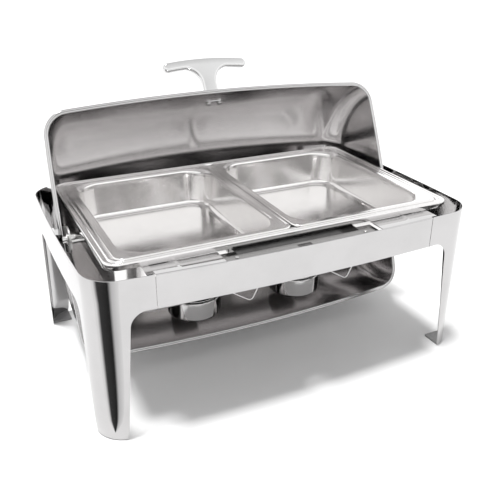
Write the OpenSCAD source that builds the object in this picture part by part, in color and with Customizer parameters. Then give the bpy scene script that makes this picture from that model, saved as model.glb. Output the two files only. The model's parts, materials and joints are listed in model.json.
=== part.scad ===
// Roll top chafer: full-size water pan with two half-size food pans, rolling
// half-barrel lid, bent sheet frame and two fuel burners under the pan.
// X runs along the length, Y from front to back, Z up; the floor is Z = 0.
// The lid is drawn rolled fully open, which is its rest position.

/* [Frame] */
// Overall length of the frame, measured at mid depth
frame_len = 629.4; // [600:1:680]
// Overall depth of the frame, measured at mid length
frame_depth = 415.4; // [412:0.2:430]
// Height of the top edge of the frame above the floor
frame_h = 251.5; // [240:0.5:270]
// Sheet thickness of the frame
frame_t = 1.2; // [0.8:0.1:2]
// Radius of the four outer corners of the frame
frame_corner_r = 46; // [38:1:60]
// Radius of the slight outward bow of the front and rear faces
face_bow_r = 3600; // [3000:100:6000]
// Radius of the slight outward bow of the two ends
end_bow_r = 4000; // [3000:100:8000]
// Height of the front and rear rails
rail_h = 50; // [40:1:60]
// Distance of the rail seams from the middle
seam_x = 224; // [215:1:232]
// Width of the gap at each seam
seam_gap = 1; // [0.3:0.1:1.5]

/* [Legs] */
// Distance of the leg's inner edge from the middle, at the floor
leg_x_foot = 275; // [268:1:282]
// The same distance at the top of the arch
leg_x_top = 259; // [250:1:264]
// Distance of the leg's rear edge from mid depth, at the floor
leg_y_foot = 160; // [150:1:168]
// The same distance at the top of the end arch
leg_y_top = 137; // [125:1:145]
// Height of the end arch
end_arch_z = 196.5; // [185:0.5:205]
// Radius of the arch corners
arch_r = 24; // [15:1:32]
// Height of the foot pads
pad_h = 4; // [3:0.5:10]

/* [Pans] */
// Height of the pan rims above the floor
rim_z = 262; // [258:0.5:266]
// Length of the water pan over its rim
water_len = 561; // [550:1:566]
// Depth of the water pan over its rim, front to back
water_depth = 345; // [340:1:348]
// Length of the water pan body
water_body_len = 512; // [500:1:516]
// Depth of the water pan body, front to back
water_body_depth = 308; // [300:1:312]
// How deep the water pan is
water_deep = 97; // [80:1:100]
// Length of one food pan rim, along X
food_len = 265; // [260:0.5:265]
// Depth of one food pan rim, along Y
food_depth = 325; // [320:0.5:326]
// How deep a food pan is
food_deep = 65; // [40:1:65]

/* [Lid] */
// Height of the lid's roll axis above the floor
pivot_z = 232; // [228:0.5:236]
// Angle that the open lid has rolled back from closed
open_deg = 112; // [100:1:114]
// Radius of the lid shell at mid length
lid_r = 197; // [192:0.5:197.5]
// Half length of the lid shell at mid depth
lid_half_len = 295.9; // [293:0.1:296.5]
// Corner radius between the barrel and the end walls
lid_corner_r = 35; // [25:1:42]
// Thickness of the lid's sheet
lid_t = 1.0; // [0.8:0.1:1.5]
// Depth of the rolled bead round the lid's rim
bead_d = 5; // [4:0.5:6]
// How far the rim stands out from the lid
bead_out = 5.5; // [2:0.5:6]
// Diameter of the pivot shafts
shaft_d = 12; // [10:1:14]

/* [Handle] */
// Length of the handle bar
bar_len = 154; // [120:2:170]
// Thickness of the handle bar, across the grip
bar_h = 17; // [12:1:20]
// Depth of the handle, the other way
bar_w = 14; // [10:1:18]
// Distance from the lid to the middle of the bar
handle_out = 66.5; // [50:0.5:75]
// Angle of the handle above the lid's rim plane
handle_deg = 12; // [10:1:16]

/* [Burners] */
// Distance of each burner from the middle
burner_x = 97; // [90:1:120]
// Outside diameter of the burner holder
burner_d = 90; // [80:1:92]
// Height of the bottom of the holder above the floor
burner_z = 64; // [60:1:80]
// Height of the holder
burner_h = 34; // [30:1:45]
// Diameter of the wire of the burner handles
wire_d = 3; // [2.5:0.5:4]

/* [Hidden] */
$fn = 96;
e = 0.01;
gap = 0.3;
xe = frame_len / 2;
yf = frame_depth / 2;
rail_z = frame_h - rail_h;
half_open = -open_deg;
lid_rim_d = frame_h + gap + bead_d / 2 - pivot_z;
barrel_r = sqrt(lid_r * lid_r + lid_rim_d * lid_rim_d);
handle_seat = sqrt(barrel_r * barrel_r - pow(lid_rim_d * cos(handle_deg), 2))
              - lid_rim_d * sin(handle_deg);
lid_bow_r = face_bow_r;
lid_end_bow_r = 2900;
pan_skirt_z = frame_h + gap;
pan_t = 1.0;
ledge_x = 126;
ledge_z = 246.5;
flange_y = 172;
tab_y = 155.5;
bracket_in_x = 302.8;
plate_in_x = xe - frame_t - 4;
stud_d = 4;
stud_y = [-7, 7];
stud_z = pivot_z - 13.5;
plate_x0 = 291.4;
plate_t = 2.5;
tube_x0 = 268.5;
tube_d = 15;
pan_lug_x0 = 264;
can_d = burner_d - 8;
cup_t = 0.8;
cover_z = burner_z + burner_h + 1.2;
steel = [0.80, 0.80, 0.81];
satin = [0.70, 0.70, 0.71];
chrome = [0.88, 0.88, 0.90];
rubber = [0.12, 0.12, 0.13];

// ---------- shared outlines and helpers ----------

// Centre of a corner arc that is tangent to the bowed face and the bowed end.
function corner_at(ax, ay, rf, re, rc, cx, n) =
    let (cy = sqrt(pow(rf - rc, 2) - pow(cx, 2)) - (rf - ay),
         nx = sqrt(pow(re - rc, 2) - pow(cy, 2)) - (re - ax))
    n == 0 ? [cx, cy] : corner_at(ax, ay, rf, re, rc, nx, n - 1);

// Points round one quarter of a bowed outline, from mid end to mid face, inset by d.
function bowed_quarter(ax, ay, rf, re, rc, d) =
    let (c = corner_at(ax, ay, rf, re, rc, ax - rc, 8),
         fa = atan2(c[0], c[1] + rf - ay),
         ea = atan2(c[1], c[0] + re - ax))
    concat([for (i = [0:3])
                let (a = ea * i / 3)
                [ax - re + (re - d) * cos(a), (re - d) * sin(a)]],
           [for (i = [1:7])
                let (a = ea + (90 - fa - ea) * i / 8)
                [c[0] + (rc - d) * cos(a), c[1] + (rc - d) * sin(a)]],
           [for (i = [0:7])
                let (a = fa * (1 - i / 8))
                [(rf - d) * sin(a), ay - rf + (rf - d) * cos(a)]]);

function flip(p, sx, sy) = [for (v = p) [sx * v[0], sy * v[1]]];
function backwards(p) = [for (i = [len(p) - 1:-1:1]) p[i]];

// Rectangle with bowed sides and tangent round corners, drawn inset by d.
module bowed_plan(ax, ay, rf, re, rc, d) {
    q = bowed_quarter(ax, ay, rf, re, rc, d);
    mid = [[0, ay - d]];
    polygon(concat(q, mid, backwards(flip(q, -1, 1)), flip(q, -1, -1), -mid,
                   backwards(flip(q, 1, -1))));
}

module frame_plan(d) {
    bowed_plan(xe, yf, face_bow_r, end_bow_r, frame_corner_r, d);
}

module lid_plan(d) {
    bowed_plan(lid_half_len, lid_r, lid_bow_r, lid_end_bow_r, lid_corner_r, d);
}

module barrel_plan(d) {
    bowed_plan(lid_half_len, barrel_r, lid_bow_r, lid_end_bow_r, lid_corner_r, d);
}

module round_rect(l, w, r) {
    square([l - 2 * r, w], center = true);
    square([l, w - 2 * r], center = true);
    for (sx = [-1, 1], sy = [-1, 1])
        translate([sx * (l / 2 - r), sy * (w / 2 - r)]) circle(r = r);
}

// Ring between two rounded rectangles.
module rim_ring(l1, w1, r1, l2, w2, r2, z0, z1) {
    translate([0, 0, z0])
        linear_extrude(z1 - z0)
            difference() {
                round_rect(l1, w1, r1);
                round_rect(l2, w2, r2);
            }
}

// Opening under a rail: sloping leg edge, flat top and a tangent round corner.
module arch_side(foot, top, z_top, r) {
    a = atan2(foot - top, z_top);
    cz = z_top - r;
    edge = top + (foot - top) * (z_top - cz) / z_top;
    cx = edge - r / cos(a);
    difference() {
        polygon([[0, -1], [foot, -1], [top, z_top], [0, z_top]]);
        difference() {
            polygon([[cx, cz], [cx + 2 * r, cz + 2 * r * tan(a)],
                     [cx + 2 * r, z_top + 1], [cx, z_top + 1]]);
            translate([cx, cz]) circle(r = r);
        }
    }
}

module arch(foot, top, z_top, r) {
    arch_side(foot, top, z_top, r);
    mirror([1, 0]) arch_side(foot, top, z_top, r);
}

// Cylinder along X between two distances from the middle, on side s.
module x_cyl(s, x0, x1, d, y, z) {
    translate([s > 0 ? x0 : -x1, y, z])
        rotate([0, 90, 0]) cylinder(d = d, h = x1 - x0);
}

module x_box(s, x0, x1, y0, y1, z0, z1) {
    translate([s > 0 ? x0 : -x1, y0, z0]) cube([x1 - x0, y1 - y0, z1 - z0]);
}

// Carries closed-lid coordinates (rim plane at Z = 0, axis above pivot) to the open pose.
module at_lid() {
    translate([0, 0, pivot_z])
        rotate([half_open, 0, 0])
            translate([0, 0, lid_rim_d]) children();
}

// ---------- frame ----------

module end_frame(s) {
    difference() {
        translate([0, 0, 1])
            linear_extrude(frame_h - 1)
                intersection() {
                    difference() {
                        frame_plan(0);
                        frame_plan(frame_t);
                    }
                    translate([s > 0 ? seam_x + seam_gap / 2 : -seam_x - seam_gap / 2 - xe, -yf - 1])
                        square([xe, 2 * yf + 2]);
                }
        translate([0, yf + 1, 0])
            rotate([90, 0, 0])
                linear_extrude(2 * yf + 2) arch(leg_x_foot, leg_x_top, rail_z, arch_r);
        translate([-xe - 1, 0, 0])
            rotate([90, 0, 90])
                linear_extrude(2 * xe + 2) arch(leg_y_foot, leg_y_top, end_arch_z, arch_r);
    }
}

module left_end_frame() { color(steel) end_frame(-1); }
module right_end_frame() { color(steel) end_frame(1); }

module rail_wall(s) {
    translate([0, 0, rail_z])
        linear_extrude(rail_h)
            intersection() {
                difference() {
                    frame_plan(0);
                    frame_plan(frame_t);
                }
                translate([seam_gap / 2 - seam_x, s > 0 ? yf - 20 : -yf - 1])
                    square([2 * seam_x - seam_gap, 21]);
            }
}

// Front rail: bent sheet with a top flange that widens at both ends to carry the pan.
module front_rail() {
    color(steel) {
        rail_wall(-1);
        translate([0, 0, frame_h - frame_t])
            linear_extrude(frame_t)
                intersection() {
                    frame_plan(frame_t - e);
                    for (s = [-1, 1])
                        scale([s, 1])
                            polygon([[ledge_x + 0.5, -yf], [seam_x - seam_gap / 2, -yf],
                                     [seam_x - seam_gap / 2, -yf + 22], [234, -yf + 22],
                                     [234, -tab_y], [190, -tab_y], [186, -flange_y],
                                     [ledge_x + 0.5, -flange_y]]);
                }
    }
}

module rear_rail() { color(steel) rail_wall(1); }

// Finger ledge let into the middle of the front flange, with a sunk tray and a slot.
module front_ledge() {
    tray_x = 101;
    tray_y0 = -184;
    tray_y1 = -tab_y;
    tray_deep = 12;
    color(satin)
        difference() {
            union() {
                translate([0, 0, ledge_z - frame_t])
                    linear_extrude(frame_t)
                        intersection() {
                            frame_plan(frame_t);
                            translate([-ledge_x, -yf]) square([2 * ledge_x, yf - flange_y]);
                        }
                translate([-tray_x, tray_y0, ledge_z - tray_deep])
                    cube([2 * tray_x, tray_y1 - tray_y0, tray_deep]);
                // riveting flange behind the rail
                translate([0, 0, ledge_z - 16])
                    linear_extrude(16)
                        intersection() {
                            difference() {
                                frame_plan(frame_t);
                                frame_plan(2 * frame_t);
                            }
                            translate([-ledge_x, -yf]) square([2 * ledge_x, 20]);
                        }
            }
            translate([-tray_x + 1, tray_y0 + 1, ledge_z - tray_deep + 1])
                cube([2 * tray_x - 2, tray_y1 - tray_y0 - 2, tray_deep]);
            translate([-11, -200, ledge_z - 5]) cube([22, 11, 10]);
            for (x = [-105, 105])
                translate([x, -191, ledge_z - 5]) cylinder(d = 3.1, h = 10);
        }
}

module ledge_rivets() {
    color(satin)
        for (x = [-105, 105])
            translate([x, -191, ledge_z]) {
                cylinder(d = 5.5, h = 1);
                translate([0, 0, -3]) cylinder(d = 3.1, h = 4);
                translate([0, 0, -2.6]) cylinder(d = 5, h = 1.3);
            }
}

// Curved plates that join the rails to the end frames behind the seams.
module splice_plates() {
    color(satin)
        for (sx = [-1, 1], sy = [-1, 1])
            translate([0, 0, rail_z + 4])
                linear_extrude(rail_h - 8)
                    intersection() {
                        difference() {
                            frame_plan(frame_t);
                            frame_plan(frame_t + 1.2);
                        }
                        translate([sx * seam_x - 14, sy > 0 ? 150 : -yf - 1])
                            square([28, yf - 149]);
                    }
}

module foot_pads() {
    color(rubber)
        for (sx = [-1, 1], sy = [-1, 1])
            scale([sx, sy, 1])
                linear_extrude(pad_h)
                    intersection() {
                        frame_plan(frame_t);
                        translate([leg_x_foot + 2, leg_y_foot + 3]) square([60, 60]);
                    }
}

// ---------- pivots ----------

// Bearing block screwed inside the end of the frame.
module pivot_bracket(s) {
    color(chrome)
        difference() {
            union() {
                x_box(s, bracket_in_x, xe - frame_t - 0.3, -11, 11, pivot_z - 8, pivot_z + 14);
                x_box(s, plate_in_x, xe - frame_t - 0.3, -14, 14, pivot_z - 19,
                      pivot_z + 16);
                x_cyl(s, bracket_in_x, xe - frame_t - 0.3, 22, 0, pivot_z);
            }
            x_cyl(s, bracket_in_x - 1, xe - frame_t - 3, shaft_d, 0, pivot_z);
            for (y = stud_y)
                x_cyl(s, plate_in_x - 1, xe, stud_d, y, stud_z);
        }
}

module pivot_bracket_left() { pivot_bracket(-1); }
module pivot_bracket_right() { pivot_bracket(1); }

// Studs welded inside the ends; the brackets hang on them.
module bracket_studs() {
    color(satin)
        for (s = [-1, 1], y = stud_y)
            x_cyl(s, plate_in_x - 5, xe - frame_t - 0.3, stud_d, y, stud_z);
}

module bracket_nuts() {
    color(satin)
        for (s = [-1, 1], y = stud_y)
            difference() {
                translate([s > 0 ? plate_in_x - 3.2 : -plate_in_x, y, stud_z])
                    rotate([0, 90, 0]) cylinder(d = 7.6, h = 3.2, $fn = 6);
                x_cyl(s, plate_in_x - 4, plate_in_x + 1, stud_d, y, stud_z);
            }
}

module pivot_shaft(s) {
    color(chrome)
        difference() {
            x_cyl(s, 258, xe - frame_t - 3, shaft_d, 0, pivot_z);
            // groove for the retaining clip
            difference() {
                x_cyl(s, 260.4, 261.6, shaft_d + 2, 0, pivot_z);
                x_cyl(s, 260, 262, shaft_d - 2, 0, pivot_z);
            }
        }
}

module pivot_shaft_left() { pivot_shaft(-1); }
module pivot_shaft_right() { pivot_shaft(1); }

module spacer_tube(s) {
    color(chrome)
        difference() {
            x_cyl(s, tube_x0, plate_x0 - 1.7, tube_d, 0, pivot_z);
            x_cyl(s, tube_x0 - 1, plate_x0, shaft_d, 0, pivot_z);
        }
}

module spacer_tube_left() { spacer_tube(-1); }
module spacer_tube_right() { spacer_tube(1); }

module pivot_washers() {
    color(satin)
        for (s = [-1, 1], x = [plate_x0 - 1.4, plate_x0 + plate_t + 0.3])
            difference() {
                x_cyl(s, x, x + 1.1, 20, 0, pivot_z);
                x_cyl(s, x - 1, x + 3, shaft_d, 0, pivot_z);
            }
}

module shaft_clips() {
    color(satin)
        for (s = [-1, 1])
            difference() {
                x_cyl(s, 260.5, 261.5, shaft_d + 5, 0, pivot_z);
                x_cyl(s, 260, 262, shaft_d - 2, 0, pivot_z);
                x_box(s, 260, 262, -2, 2, pivot_z - 12, pivot_z);
            }
}

// ---------- pans ----------

module water_pan() {
    bl = water_body_len;
    bw = water_body_depth;
    floor_z = rim_z - water_deep;
    color(steel) {
        // body walls and floor
        rim_ring(bl, bw, 46, bl - 2 * pan_t, bw - 2 * pan_t, 45, floor_z, rim_z - 3);
        translate([0, 0, floor_z]) linear_extrude(pan_t) round_rect(bl, bw, 46);
        // seat for the food pans, then the raised outer rim and its skirt
        rim_ring(532, 327, 16, bl - 2 * pan_t, bw - 2 * pan_t, 45, rim_z - 4, rim_z - 3);
        rim_ring(534, 329, 17, 532, 327, 16, rim_z - 4, rim_z - 0.8);
        rim_ring(water_len, water_depth, 20, 532, 327, 16, rim_z - 1.8, rim_z - 0.8);
        rim_ring(water_len, water_depth, 20, water_len - 2, water_depth - 2, 19,
                 pan_skirt_z, rim_z - 0.8);
    }
}

// Lug welded to the end of the pan; the shaft carries the pan through it.
module pan_lug(s) {
    color(satin)
        difference() {
            union() {
                x_box(s, pan_lug_x0, pan_lug_x0 + 3, -16, 16, pivot_z - 12, pivot_z + 14);
                x_box(s, water_body_len / 2, pan_lug_x0 + 1, -16, 16, pivot_z - 14,
                      pivot_z - 11);
                x_box(s, water_body_len / 2, water_body_len / 2 + 1.6, -16, 16,
                      pivot_z - 34, pivot_z - 11);
            }
            x_cyl(s, pan_lug_x0 - 1, pan_lug_x0 + 5, shaft_d, 0, pivot_z);
        }
}

module pan_lug_left() { pan_lug(-1); }
module pan_lug_right() { pan_lug(1); }

module food_pan(s) {
    bl = food_len - 27;
    bw = food_depth - 27;
    z0 = rim_z - food_deep;
    color(steel)
        translate([s * (food_len / 2 + 0.25), 0, 0]) {
            rim_ring(food_len - 1, food_depth, 15, bl - 2, bw - 2, 41, rim_z - 1, rim_z);
            rim_ring(food_len - 1, food_depth, 15, food_len - 3, food_depth - 2, 14,
                     rim_z - 2.6, rim_z);
            rim_ring(bl, bw, 42, bl - 2, bw - 2, 41, z0, rim_z);
            translate([0, 0, z0]) linear_extrude(1) round_rect(bl, bw, 42);
        }
}

module food_pan_left() { food_pan(-1); }
module food_pan_right() { food_pan(1); }

// ---------- lid ----------

// Half of the sheet outline between two insets, ready to be turned about the long axis.
module lid_half(d0, d1) {
    intersection() {
        rotate(90)
            difference() {
                barrel_plan(d0);
                barrel_plan(d1);
            }
        translate([0, -xe]) square([yf + 10, 2 * xe]);
    }
}

// Barrel turned about the pivot axis and cut off flat at the rim.
module lid_turned(d0, d1) {
    intersection() {
        translate([0, 0, -lid_rim_d])
            rotate([0, 90, 0])
                rotate([0, 0, 90])
                    rotate_extrude(angle = 180, $fn = 120) lid_half(d0, d1);
        translate([-xe, -barrel_r - 10, 0])
            cube([2 * xe, 2 * barrel_r + 20, barrel_r + 10]);
    }
}

module lid_shell() {
    color(satin)
        at_lid() {
            difference() {
                lid_turned(0, lid_t);
                for (x = [-10, 10])
                    translate([x, 0, 0])
                        rotate([90 - handle_deg, 0, 0])
                            translate([0, 0, handle_seat - 8]) cylinder(d = 5, h = 16);
                for (s = [-1, 1], y = [-13, 13])
                    x_cyl(s, 290, 306, 4, y, 14);
            }
            // rolled bead
            translate([0, 0, -bead_d / 2])
                linear_extrude(bead_d / 2)
                    difference() {
                        lid_plan(-bead_out);
                        lid_plan(lid_t);
                    }
        }
}

// Plate inside the end wall that reaches past the rim to the pivot.
module lid_hinge_plate(s) {
    color(satin)
        at_lid()
            difference() {
                union() {
                    x_box(s, plate_x0, plate_x0 + plate_t, -20, 20, -lid_rim_d, 26);
                    x_cyl(s, plate_x0, plate_x0 + plate_t, 40, 0, -lid_rim_d);
                    for (y = [-13, 13])
                        x_cyl(s, plate_x0, lid_half_len - lid_t - 0.4, 9, y, 14);
                }
                x_cyl(s, plate_x0 - 1, plate_x0 + plate_t + 1, shaft_d + 0.1, 0, -lid_rim_d);
                for (y = [-13, 13])
                    x_cyl(s, plate_x0 - 1, 306, 4, y, 14);
            }
}

module lid_hinge_plate_left() { lid_hinge_plate(-1); }
module lid_hinge_plate_right() { lid_hinge_plate(1); }

module hinge_plate_rivets() {
    color(chrome)
        at_lid()
            for (s = [-1, 1], y = [-13, 13]) {
                x_cyl(s, plate_x0 - 1.2, lid_half_len + 1, 4, y, 14);
                x_cyl(s, plate_x0 - 1.6, plate_x0, 7.5, y, 14);
                x_cyl(s, lid_half_len + 0.05, lid_half_len + 1.4, 7.5, y, 14);
            }
}

// T-shaped cast handle, standing off the barrel just above its rim.
module lid_handle() {
    half = bar_len / 2 - bar_h / 2;
    bow = 560;
    stem = 26;
    fil = 30;
    under = lid_r + handle_out - bar_h / 2 - 0.4;
    color(chrome)
        at_lid()
            rotate([90 - handle_deg, 0, 0])
                difference() {
                    translate([0, bar_w / 2, 0])
                        rotate([90, 0, 0])
                            linear_extrude(bar_w) {
                                intersection() {
                                    translate([0, lid_r + handle_out - bow])
                                        difference() {
                                            circle(r = bow + bar_h / 2, $fn = 360);
                                            circle(r = bow - bar_h / 2, $fn = 360);
                                        }
                                    translate([-half, lid_r]) square([2 * half, 100]);
                                }
                                for (s = [-1, 1])
                                    translate([bow * sin(s * 7.1),
                                               lid_r + handle_out - bow + bow * cos(7.1)])
                                        circle(d = bar_h);
                                translate([-stem / 2, handle_seat - 4])
                                    square([stem, lid_r + handle_out - handle_seat + 4]);
                                for (s = [-1, 1])
                                    difference() {
                                        translate([s > 0 ? stem / 2 - e : -stem / 2 - fil + e,
                                                   under - fil])
                                            square([fil, fil + 2]);
                                        translate([s * (stem / 2 + fil), under - fil])
                                            circle(r = fil);
                                    }
                            }
                    rotate([handle_deg - 90, 0, 0])
                        translate([0, 0, -lid_rim_d])
                            rotate([0, 90, 0])
                                cylinder(r = barrel_r + 0.05, h = 60, center = true);
                    for (x = [-10, 10])
                        translate([x, 0, handle_seat - 8]) cylinder(d = 4.6, h = 30);
                }
}

module handle_screws() {
    color(chrome)
        at_lid()
            for (x = [-10, 10])
                translate([x, 0, 0])
                    rotate([90 - handle_deg, 0, 0])
                        translate([0, 0, handle_seat - lid_t - 3.5]) {
                            cylinder(d = 9.5, h = 3);
                            cylinder(d = 4.6, h = 26);
                        }
}

// ---------- burners ----------

module burner_hanger(s) {
    top = rim_z - water_deep - 0.05;
    color(satin)
        translate([s * burner_x, 0, 0]) {
            difference() {
                translate([-22, 48, burner_z - 2]) cube([44, 1.6, top - burner_z + 2]);
                translate([0, 52, 120]) rotate([90, 0, 0]) cylinder(d = 18, h = 8);
            }
            difference() {
                translate([-22, 48, top - 1.6]) cube([44, 26, 1.6]);
                for (x = [-13, 13])
                    translate([x, 62, top - 4]) cylinder(d = 4, h = 8);
            }
            translate([-22, 0, burner_z - 2]) cube([44, 49, 1.6]);
            translate([0, 0, burner_z - 2]) cylinder(d = 44, h = 1.6);
        }
}

module burner_hanger_left() { burner_hanger(-1); }
module burner_hanger_right() { burner_hanger(1); }

module hanger_rivets() {
    top = rim_z - water_deep;
    color(satin)
        for (s = [-1, 1], x = [-13, 13])
            translate([s * burner_x + x, 62, top]) {
                translate([0, 0, -3.2]) cylinder(d = 8, h = 1.5);
                translate([0, 0, -3]) cylinder(d = 4, h = 2.95);
            }
}

module at_burner(s) {
    translate([s * burner_x, 0, burner_z]) children();
}

// Open cup with a rolled lip and a boss for the cover's pin.
module burner_holder(s) {
    color(chrome)
        at_burner(s)
            difference() {
                union() {
                    cylinder(d = burner_d, h = burner_h);
                    translate([0, 0, burner_h - 2.4]) cylinder(d = burner_d + 2, h = 2.4);
                    translate([burner_d / 2 + 2, 0, burner_h - 12]) cylinder(d = 9, h = 12);
                }
                translate([0, 0, cup_t]) cylinder(d = burner_d - 2 * cup_t, h = burner_h);
                translate([burner_d / 2 + 2, 0, burner_h - 13]) cylinder(d = 4, h = 14);
            }
}

module burner_holder_left() { burner_holder(-1); }
module burner_holder_right() { burner_holder(1); }

module fuel_can(s) {
    color(steel)
        at_burner(s)
            difference() {
                translate([0, 0, cup_t + 0.1]) cylinder(d = can_d, h = burner_h - 3);
                translate([0, 0, cup_t + 0.9]) cylinder(d = can_d - 1.6, h = burner_h - 4.6);
                translate([0, 0, burner_h - 8]) cylinder(d = 46, h = 20);
            }
}

module fuel_can_left() { fuel_can(-1); }
module fuel_can_right() { fuel_can(1); }

// Flat cover with a turned-down edge; it swings aside on its pin.
module burner_cover(s) {
    lip = burner_d / 2 + 2;
    color(chrome)
        translate([s * burner_x, 0, cover_z])
            difference() {
                union() {
                    cylinder(d = burner_d - 4, h = 1.2);
                    translate([0, 0, 1]) cylinder(d = burner_d - 22, h = 3);
                    translate([burner_d / 2 - 12, -7, 0]) cube([14, 14, 1.6]);
                    translate([lip, 0, 0]) cylinder(d = 14, h = 1.6);
                }
                translate([0, 0, -1]) cylinder(d = burner_d - 24, h = 4);
                translate([lip, 0, -1]) cylinder(d = 4.1, h = 6);
            }
}

module burner_cover_left() { burner_cover(-1); }
module burner_cover_right() { burner_cover(1); }

module cover_pin(s) {
    color(satin)
        at_burner(s)
            translate([burner_d / 2 + 2, 0, burner_h - 11]) {
                cylinder(d = 4, h = 16);
                translate([0, 0, 14.4]) cylinder(d = 8, h = 1.8);
            }
}

module cover_pin_left() { cover_pin(-1); }
module cover_pin_right() { cover_pin(1); }

// Straight wire with round ends between two points.
module wire(a, b) {
    v = b - a;
    len = norm(v);
    translate(a)
        rotate([0, acos(v[2] / len), atan2(v[1], v[0])])
            cylinder(d = wire_d, h = len);
    translate(a) sphere(d = wire_d, $fn = 24);
    translate(b) sphere(d = wire_d, $fn = 24);
}

// Bent wire that droops from the cover to the right and turns up at its end.
module wire_handle(s) {
    color(chrome)
        translate([s * burner_x, 0, cover_z]) {
            wire([32, -18, 2.6], [46, -22, 2.6]);
            wire([46, -22, 2.6], [94, -30, -27]);
            wire([94, -30, -27], [107, -30, -2]);
        }
}

module wire_handle_left() { wire_handle(-1); }
module wire_handle_right() { wire_handle(1); }

// ---------- what is drawn ----------

left_end_frame();
right_end_frame();
front_rail();
rear_rail();
front_ledge();
ledge_rivets();
splice_plates();
foot_pads();
pivot_bracket_left();
pivot_bracket_right();
bracket_studs();
bracket_nuts();
pivot_shaft_left();
pivot_shaft_right();
spacer_tube_left();
spacer_tube_right();
pivot_washers();
shaft_clips();
water_pan();
pan_lug_left();
pan_lug_right();
food_pan_left();
food_pan_right();
lid_shell();
lid_hinge_plate_left();
lid_hinge_plate_right();
hinge_plate_rivets();
lid_handle();
handle_screws();
burner_hanger_left();
burner_hanger_right();
hanger_rivets();
burner_holder_left();
burner_holder_right();
fuel_can_left();
fuel_can_right();
burner_cover_left();
burner_cover_right();
cover_pin_left();
cover_pin_right();
wire_handle_left();
wire_handle_right();
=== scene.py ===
"""Looks of the roll top chafer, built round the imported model. Lengths are in metres."""
import json
import math

import bmesh
import bpy
from mathutils import Matrix, Vector

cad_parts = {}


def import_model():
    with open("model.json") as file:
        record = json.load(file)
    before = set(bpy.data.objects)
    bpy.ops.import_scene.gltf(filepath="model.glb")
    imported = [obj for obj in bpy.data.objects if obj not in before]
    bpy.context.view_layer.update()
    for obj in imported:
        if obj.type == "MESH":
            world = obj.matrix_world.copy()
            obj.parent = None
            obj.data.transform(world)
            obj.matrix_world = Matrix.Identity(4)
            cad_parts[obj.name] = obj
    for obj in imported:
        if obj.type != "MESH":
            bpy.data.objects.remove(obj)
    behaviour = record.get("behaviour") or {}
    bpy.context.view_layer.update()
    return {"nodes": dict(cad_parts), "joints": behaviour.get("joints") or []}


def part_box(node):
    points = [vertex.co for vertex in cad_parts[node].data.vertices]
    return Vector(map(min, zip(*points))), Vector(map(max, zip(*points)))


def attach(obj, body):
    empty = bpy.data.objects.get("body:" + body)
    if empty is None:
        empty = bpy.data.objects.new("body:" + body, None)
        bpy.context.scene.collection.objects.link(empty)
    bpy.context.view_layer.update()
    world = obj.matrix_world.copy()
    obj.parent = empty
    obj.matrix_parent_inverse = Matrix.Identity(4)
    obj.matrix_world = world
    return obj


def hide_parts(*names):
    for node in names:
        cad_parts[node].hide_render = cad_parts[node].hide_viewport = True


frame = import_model()

SIDE_NAMES = {-1: "left", 1: "right"}
NEARLY = 1e-6

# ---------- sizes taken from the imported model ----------

JOINTS = {j["name"]: j for j in frame["joints"]}
PIVOT = Vector(JOINTS["lid_roll"]["pos_m"])
OPEN = math.radians(JOINTS["lid_roll"]["range_deg"][1])
MID_Y = PIVOT.y
END_LO, END_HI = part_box("right_end_frame")
RAIL_LO, RAIL_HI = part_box("rear_rail")
FLANGE_LO, FLANGE_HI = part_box("front_rail")
LEDGE_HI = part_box("front_ledge")[1]
WATER_LO, WATER_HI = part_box("water_pan")
HOLDER_LO, HOLDER_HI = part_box("burner_holder_right")
CAN_LO, CAN_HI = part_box("fuel_can_right")
COVER_LO, COVER_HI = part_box("burner_cover_right")

FRAME_X = END_HI.x
FRAME_Y = MID_Y - FLANGE_LO.y
FRAME_Z = END_HI.z
SEAM_X = END_LO.x
RAIL_X = RAIL_HI.x
RAIL_Z = RAIL_LO.z
LEG_FOOT_Z = END_LO.z

# ---------- shapes shared with the design ----------

# half length, half depth, radius of the faces' bow, radius of the ends' bow, corner radius
FRAME_SHAPE = (FRAME_X, FRAME_Y, 3.6, 4.0, 0.046)
LID_SHAPE = (0.2959, 0.197, 3.6, 2.9, 0.035)

# half width at the foot, half width at the top, height and corner radius of the arches
FRONT_ARCH = (0.275, 0.259, RAIL_Z, 0.024)
END_ARCH = (0.160, 0.137, 0.1965, 0.024)

# thickness of the frame's and the lid's sheet
SHEET = 0.0012
LID_SHEET = 0.001

# how far the lid's rim plane lies from the pivot, its barrel's radius and the rim's reach
LID_RIM_D = 0.0223
BARREL_R = math.hypot(LID_SHAPE[1], LID_RIM_D)
RIM_OUT = 0.0055
HANDLE_TILT = math.radians(12)

# how far before the middle the front flange ends where it is narrow, and where it widens
FLANGE_END = 0.172
WIDENS_AT = 0.186
WIDENS_OVER = 0.004


def corner_centre(shape):
    """Centre of the corner arc that is tangent to the bowed face and the bowed end."""
    ax, ay, rf, re, rc = shape
    cx = ax - rc
    # each round brings the two distances closer to where both arcs are tangent
    for _ in range(8):
        cy = math.sqrt((rf - rc) ** 2 - cx**2) - (rf - ay)
        cx = math.sqrt((re - rc) ** 2 - cy**2) - (re - ax)
    return cx, cy


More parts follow.
